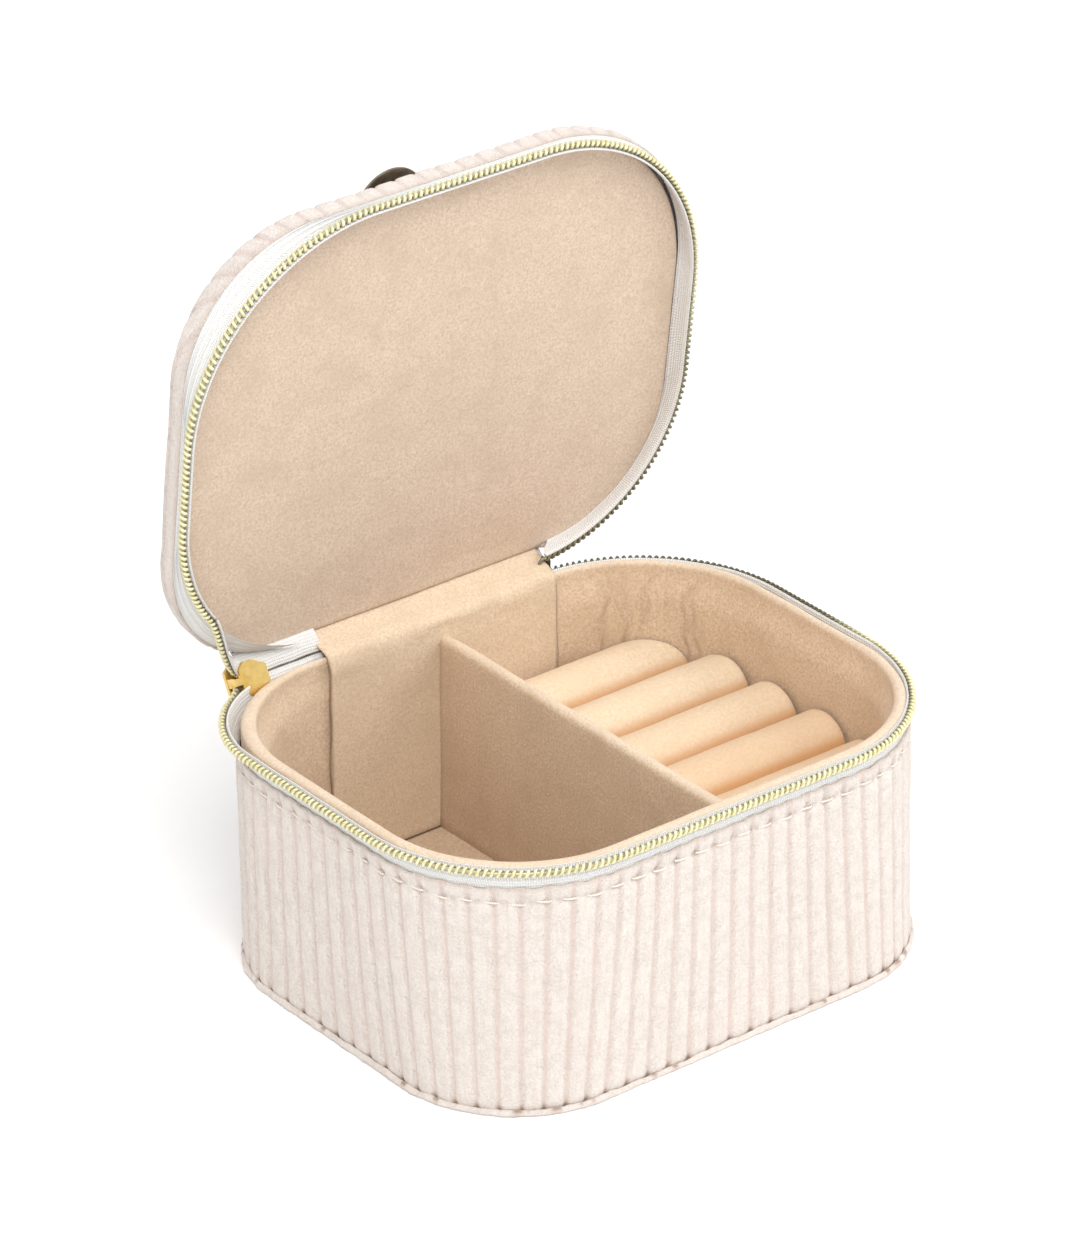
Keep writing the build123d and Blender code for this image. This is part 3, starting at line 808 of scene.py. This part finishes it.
# ---- lid ----
def lid_panel():
    """The lid's padded lining, its edge turned under all round."""
    place = places_at(LID_PANEL, np.linspace(0, 1, 560, endpoint=False))
    shares = np.concatenate([np.linspace(1, 0.94, 14), np.linspace(0.925, POLE, 50)])
    drop = 0.75 * (1 - np.sqrt(np.clip(1 - ((shares - 0.975) / 0.025) ** 2, 0, 1))) * (shares > 0.975)
    rows = rings_in(place, LID_PANEL, LID_PANEL_Z - 0.1 + drop - 0.25 * smooth(1 - shares, 0.02, 0.4), shares)
    rows[..., 2] -= 0.16 * bumps(rows, 17, 41) + 0.05 * bumps(rows, 5, 42)
    under = loop(place, grown(LID_PANEL, -0.1), LID_PANEL_Z + 1.2)
    points = np.concatenate([under[None], rows])
    shade = np.zeros(points.shape[:2])
    shade[:3] = np.array([0.3, 0.15, 0.05])[:, None]
    skin = Skin().patch(opened(points), shade=shade, wrap=True, flip=True)
    panel = skin.make("lid_panel", LID_LINING, "lid", "suede_lining")
    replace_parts(panel, "lid_lining_panel", "lid_board", "lid_foam", "lid_button_washer")


def lid_cloth():
    """Ribbed cloth over the lid's top and down its narrow band."""
    place = places_at(LID_EDGE, np.linspace(0, 1, 900, endpoint=False))
    turn = np.linspace(0, math.pi / 2, 10)
    seam = [(-1.0, 0.6), (-0.75, 0.05), (-0.3, -0.15), (0.0, 0.15), (0.05, 0.7), (0.05, 1.1)]
    rows = [(out, LID_SEAM_Z + rise) for out, rise in seam]
    rows += [(-LID_ROUND * (1 - math.cos(a)), LID_TOP_Z - LID_ROUND * (1 - math.sin(a))) for a in turn]
    band = np.array([loop(place, LID_EDGE, height, out) for out, height in rows])
    edge = band[:len(seam)]                         # lifted behind the hinge, where the lid's panel hides it
    x, y = edge[..., 0], edge[..., 1]
    behind = smooth(y, 40, 44) * smooth(x, -48, -45) * (1 - smooth(x, 29, 31))
    edge[..., 2] += behind * (LID_SEAM_Z + 1.5 - edge[..., 2])
    shares = np.linspace(0.99, POLE, 84)
    dome = LID_TOP_Z + 0.7 * smooth(1 - shares, 0, 0.6)
    top = rings_in(place, grown(LID_EDGE, -LID_ROUND), dome, shares)
    points = np.concatenate([band, top])
    normal = facing_out(place, LID_EDGE)
    level = np.concatenate([np.zeros(len(seam)), np.sin(turn), np.ones(len(shares))])[:, None, None]
    facing = unit(normal * (1 - level) + np.array([0, 0, 1.0]) * level)
    drop = np.maximum(LID_TOP_Z - points[..., 2], 0)
    rib = (points[..., 0] + normal[:, 0] * drop) / RIB_PITCH + 0.3
    rib = rib + 0.05 * bumps(points, 16, 43)
    groove = hump(rib_distance(rib), 0, 0.5)
    inside = np.ones(len(points))
    inside[:3] = 0
    out = (-0.42 * groove + 0.14 * bumps(points, 12, 44) + 0.07 * bumps(points, 2.6, 45)) * inside[:, None]
    points = points + facing * out[..., None]
    uv = np.stack([rib, points[..., 1]], -1)
    uv = np.concatenate([uv, uv[:, :1]], axis=1)
    shade = np.zeros(points.shape[:2])
    shade[:5] = np.array([0.3, 0.35, 0.3, 0.2, 0.08])[:, None]
    skin = Skin().patch(opened(points), uv, shade, wrap=True)
    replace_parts(skin.make("lid_cloth", RIBBED, "lid", "ribbed_cloth"), "lid_cover")


def lid_tape():
    """Tape from the lid's seam out to its coil, widest at the corners."""
    place = places_at(LID_ZIP, np.linspace(0, 1, 760), ZIP_START, LID_ZIP_END)
    rows = [(0.0, -0.7, 56.2), (0.0, -0.35, 55.3), (0.25, -0.2, 54.7), (0.6, -0.25, 53.9), (0.9, -0.5, 53.1),
            (1.0, -0.7, 52.4), (1.0, -0.8, 51.85), (1.0, -0.95, 51.72), (1.0, -1.15, 51.85),
            (1.0, -1.2, 52.5), (0.7, -1.1, 54.0), (0.3, -1.2, 55.0), (0.0, -1.5, 56.0)]
    shapes = [(mixed(LID_EDGE, LID_ZIP, share), height, out) for share, out, height in rows]
    points = profile_loops(place, shapes)
    points += 0.07 * bumps(points, 7, 46)[..., None]
    across = distance_run(np.array([(out, height) for _, out, height in rows]))
    skin = Skin().patch(opened(points), tape_uv(place, LID_ZIP, across), flip=True)
    last = np.linspace(LID_ZIP_END - 0.04, 7.9, 60)  # its inner part goes on past the slider's corner
    inner = profile_loops(last, [(shape, height + 0.03, out - 0.03) for shape, height, out in shapes[:5]])
    skin.patch(opened(inner), tape_uv(last, LID_ZIP, across[:5]), flip=True)
    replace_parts(skin.make("lid_tape", TAPE, "lid", "zip_tape"), "lid_zip_tape")


def lid_coil():
    """The lid's open coil and its core."""
    place = places_at(LID_ZIP, np.linspace(0, 1, 500), ZIP_START, LID_ZIP_END)
    path, across, out = ring_path(place, LID_ZIP, LID_COIL_Z)
    path, across, out = opened(path), opened_way(across), opened_way(out)
    coil = Skin()
    # Painted shade on the coil along the far side of the ring, its back right corner and right side.
    coil_on(coil, path, across, out, painted_shade=0.9 - 0.9 * smooth(place, 2.0, 3.4))
    made = coil.make("lid_coil", COIL, "lid", "zip_coil")
    core = Skin().tube(path, CORE_RADIUS, sides=6, hint=across)
    core.make("lid_coil_core", CORD, "lid", "zip_coil").parent = made
    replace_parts(made, "lid_zip_coil")


# ---- hinge and the closed length of zip ----
def across_hinge(path, low_x, high_x, columns):
    """Rows of points for a sheet that follows a path in Y and Z."""
    points = np.zeros((len(path), columns, 3))
    points[..., 0] = np.linspace(low_x, high_x, columns)
    points[..., 1:] = path[:, None]
    return points


def thicken(sheet, thickness):
    """Gives a single layer its thickness in millimetres."""
    layer = sheet.modifiers.new("thickness", "SOLIDIFY")
    layer.thickness = thickness * MM
    layer.offset = 0.0


def hinge_strip():
    """Light lining that runs up the back wall, folds over the rim and goes in behind the lid's panel."""
    inner = STRIP_LOW[1] + 0.1
    path = smooth_path([(inner, 6.3), (inner - 0.1, 20), (inner, 36), (inner, 46.5), (inner + 0.15, 49.6),
                        (inner + 0.75, 51.5), (inner + 2.1, 52.4), (inner + 3.7, 52.85), (inner + 5.2, 53.4),
                        (inner + 6.3, 53.95), (inner + 7.3, 54.4), (inner + 8.1, 54.6)], 150)
    points = across_hinge(path, STRIP_LOW[0], STRIP_HIGH[0], 120)
    fold = hump(points[..., 2], 51.2, 3.2)
    soft = 0.12 * bumps(points, 12, 50) + fold * (0.5 * bumps(points * np.array([0.45, 1, 1]), 3.6, 51))
    points[..., 1] -= soft
    points[..., 2] -= 0.7 * soft * fold
    points[..., 0] += 0.5 * bumps(points, 9, 52) * smooth(np.abs(points[..., 0] - 1.5), 24, 27.5)
    x = points[..., 0]
    edge = np.maximum(hump(x, STRIP_LOW[0], 0.35), hump(x, STRIP_HIGH[0], 0.35))
    shade = 0.75 * edge * (1 - smooth(points[..., 2], 49, 52)) + 0.4 * hump(points[..., 2], 6.3, 0.9)
    strip = Skin().patch(points, shade=shade).make("hinge_strip", STRIP_LINING, slot="light_lining")
    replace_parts(strip, "back_wall_strip", "hinge_lining")
    thicken(strip, 0.4)
    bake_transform(strip)


def hinge_spine():
    """Ribbed cloth on the outside of the hinge, tucked under the cloth of the wall and the lid."""
    path = smooth_path([(46.1, 45.0), (46.4, 47.0), (47.1, 49.2), (48.2, 51.2), (49.7, 52.9), (51.2, 54.4),
                        (52.0, 56.4)], 60)
    points = across_hinge(path, STRIP_LOW[0] - 1.5, STRIP_HIGH[0] + 1.5, 170)
    groove = hump(rib_distance(points[..., 0] / RIB_PITCH), 0, 0.5)
    points[..., 1] -= 0.3 * groove + 0.1 * bumps(points, 5, 53)
    uv = np.stack([points[..., 0] / RIB_PITCH, points[..., 2]], -1)
    spine = Skin().patch(points, uv, flip=True).make("hinge_spine", RIBBED, slot="ribbed_cloth")
    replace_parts(spine, "hinge_cover")
    thicken(spine, 0.6)
    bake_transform(spine)


def closed_tape(name, side, section, body=None):
    """One tape of the closed zip, through (reach, out) of its face. Side 1 goes up to the lid, and side -1
    down into the base."""
    along = np.linspace(*CHAIN_ENDS, 70)
    reach, out = np.array(section).T
    rows = [on_chain(along, side * up, level) for up, level in section]
    back = [on_chain(along, side * up, level + 0.35) for up, level in section[::-1]]
    points = np.array(rows + back)
    points += 0.1 * bumps(points, 4, 54 + side)[..., None]
    across = np.concatenate([reach, reach[::-1]])
    uv = np.stack(np.broadcast_arrays(along, across[:, None]), -1)
    shade = np.where(across < 0.3, 0.8, 0.0)[:, None]
    return Skin().patch(points, uv, shade, closed=True, flip=side < 0).make(name, TAPE, body, "zip_tape")


def closed_zip():
    """The meshed length of zip beside the slider: two tapes seen from inside, the coils behind them."""
    face = [(0.04, -0.3), (0.4, -0.55), (1.2, -0.6), (1.9, -0.6), (2.6, -0.5), (3.3, -0.3), (4.0, 0.0)]
    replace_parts(closed_tape("closed_tape_base", -1, face, "base"), "zip_closed_chain")
    upper = closed_tape("closed_tape_lid", 1, face + [(4.9, 0.4), (5.7, 0.7)])
    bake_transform(upper)
    coils = Skin()
    along = np.linspace(*CHAIN_ENDS, 60)
    for side in (-1, 1):
        coil_on(coils, on_chain(along + 0.3 * side, 0.5 * side, 0.75), CHAIN_UP, CHAIN_OUT)
    coils.make("closed_zip_coils", COIL, "base", "zip_coil")


def lid_chain_end():
    """The last of the lid's tape and coil, which bends from the lid into the slider's upper mouth."""
    place = np.array([LID_ZIP_END - 0.02, LID_ZIP_END])
    ring = opened(loop(place, LID_ZIP, LID_COIL_Z))
    ahead = unit(ring[1] - ring[0])
    mouth = on_chain(CHAIN_ENDS[0], 1.2, 0.3)
    path = bezier([ring[1], ring[1] + ahead * 3.6, mouth - np.array([3.2, -0.6, -0.9]), mouth], 60)
    share = np.linspace(0, 1, 60)[:, None]
    out = unit(mixed(opened_way(facing_out(place, LID_ZIP)[1]), CHAIN_OUT, share))
    across = unit(mixed(opened_way(np.array([0.0, 0.0, 1.0])), CHAIN_UP, share))
    coil = Skin()
    coil_on(coil, path, across, out)
    made = coil.make("lid_coil_end", COIL, slot="zip_coil")
    reach = np.array([-0.95, -0.3, 0.6, 1.4, 2.3, 3.0])
    sheet = np.array([path + across * up - out * 0.75 for up in reach])
    sheet = np.concatenate([sheet, (sheet - out * 0.35)[::-1]])
    run = distance_run(path)
    uv = np.stack(np.broadcast_arrays(run, np.concatenate([reach, reach[::-1]])[:, None]), -1)
    band = Skin().patch(sheet, uv, closed=True).make("lid_tape_end", TAPE, slot="zip_tape")
    for part in (made, band):
        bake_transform(part)


def right_end():
    """Where the two open chains meet again, at the right of the hinge strip, inside a short dark stop."""
    place = np.array([ZIP_START])
    low = loop(place, BASE_ZIP, COIL_Z)[0]
    high = opened(loop(place, LID_ZIP, LID_COIL_Z))[0]
    middle = (low + high) / 2 + np.array([-1.0, 0.2, 0.0])
    skin = Skin()
    for start, bend in ((low, 0.5), (high, -0.2)):
        leaving, arriving = start + np.array([-1.0, 0.1, 0.0]), middle + np.array([-0.6, bend, 0.0])
        skin.tube(bezier([start, leaving, arriving, middle], 24), 0.34, hint=(0, 1, 0.2))
    # The end loops take painted shade: a darker copy of the coil's material.
    skin.make("zip_end_loops", SHADED_COIL, "base", "zip_coil")


# ---- CAD pieces that are shown ----
def dress(node, material, bevel):
    """Gives a CAD piece its material and soft edges."""
    shown = frame["nodes"][node]
    shown.data.materials.clear()
    shown.data.materials.append(material)
    edges = shown.modifiers.new("soft_edges", "BEVEL")
    edges.width = bevel * MM
    edges.segments = 3
    edges.limit_method = "ANGLE"
    edges.angle_limit = math.radians(30)
    edges.harden_normals = True


# ---- studio ----
def area_light(name, place, aim, size, power, colour=(1.0, 1.0, 1.0)):
    """A round soft light at a place, turned to face its aim."""
    light = bpy.data.lights.new(name, "AREA")
    light.shape = "DISK"
    light.size = size
    light.energy = power
    light.color = colour
    made = bpy.data.objects.new(name, light)
    made.location = place
    made.rotation_euler = (Vector(place) - Vector(aim)).to_track_quat("Z", "Y").to_euler()
    bpy.context.scene.collection.objects.link(made)


def studio():
    """Even white surroundings, two soft lights and a pale floor."""
    world = bpy.data.worlds.new("studio")
    world.use_nodes = True
    background = world.node_tree.nodes["Background"]
    background.inputs["Color"].default_value = (1.0, 1.0, 1.0, 1.0)
    background.inputs["Strength"].default_value = 0.75
    bpy.context.scene.world = world
    bpy.context.scene.view_settings.view_transform = "Standard"
    aim = (0.0, 0.0, 0.05)
    area_light("key", (-0.5, -0.7, 1.3), aim, 0.9, 15.0, (1.0, 0.99, 0.98))
    area_light("fill", (1.0, -0.5, 0.8), aim, 0.8, 6.0)
    floor = Skin()
    side = np.linspace(-3000, 3000, 25)
    x, y = np.meshgrid(side, side)
    floor.patch(np.stack([x, y, np.zeros_like(x)], -1))
    floor.make("studio_floor", painted_board("pale_board", (250, 250, 250), (247, 247, 247)))


def camera():
    """A long lens from the front left and above."""
    level = math.cos(CAMERA_TILT)
    back = Vector((math.sin(CAMERA_TURN) * level, -math.cos(CAMERA_TURN) * level, math.sin(CAMERA_TILT)))
    data = bpy.data.cameras.new("camera")
    data.lens = CAMERA_LENS
    data.sensor_width = 36.0
    made = bpy.data.objects.new("camera", data)
    made.location = CAMERA_PLACE
    made.rotation_euler = back.to_track_quat("Z", "Y").to_euler()
    bpy.context.scene.collection.objects.link(made)
    bpy.context.scene.camera = made


camera()
studio()
ribbed_wall()
top_stitches()
bottom_welt()
bottom_cloth()
base_tape()
base_coil()
wall_lining()
padded_floor()
divider()
for number in range(1, len(ROLL_SHADE) + 1):
    ring_roll(number)
lid_panel()
lid_cloth()
lid_tape()
lid_coil()
hinge_strip()
hinge_spine()
closed_zip()
lid_chain_end()
right_end()
dress("slider_body", GOLD, 0.18)
dress("pull_tab", GOLD, 0.15)
dress("zip_end_stop", DARK_METAL, 0.12)
dress("lid_button_cap", BRONZE, 0.15)
dress("lid_button_shank", BRONZE, 0.1)
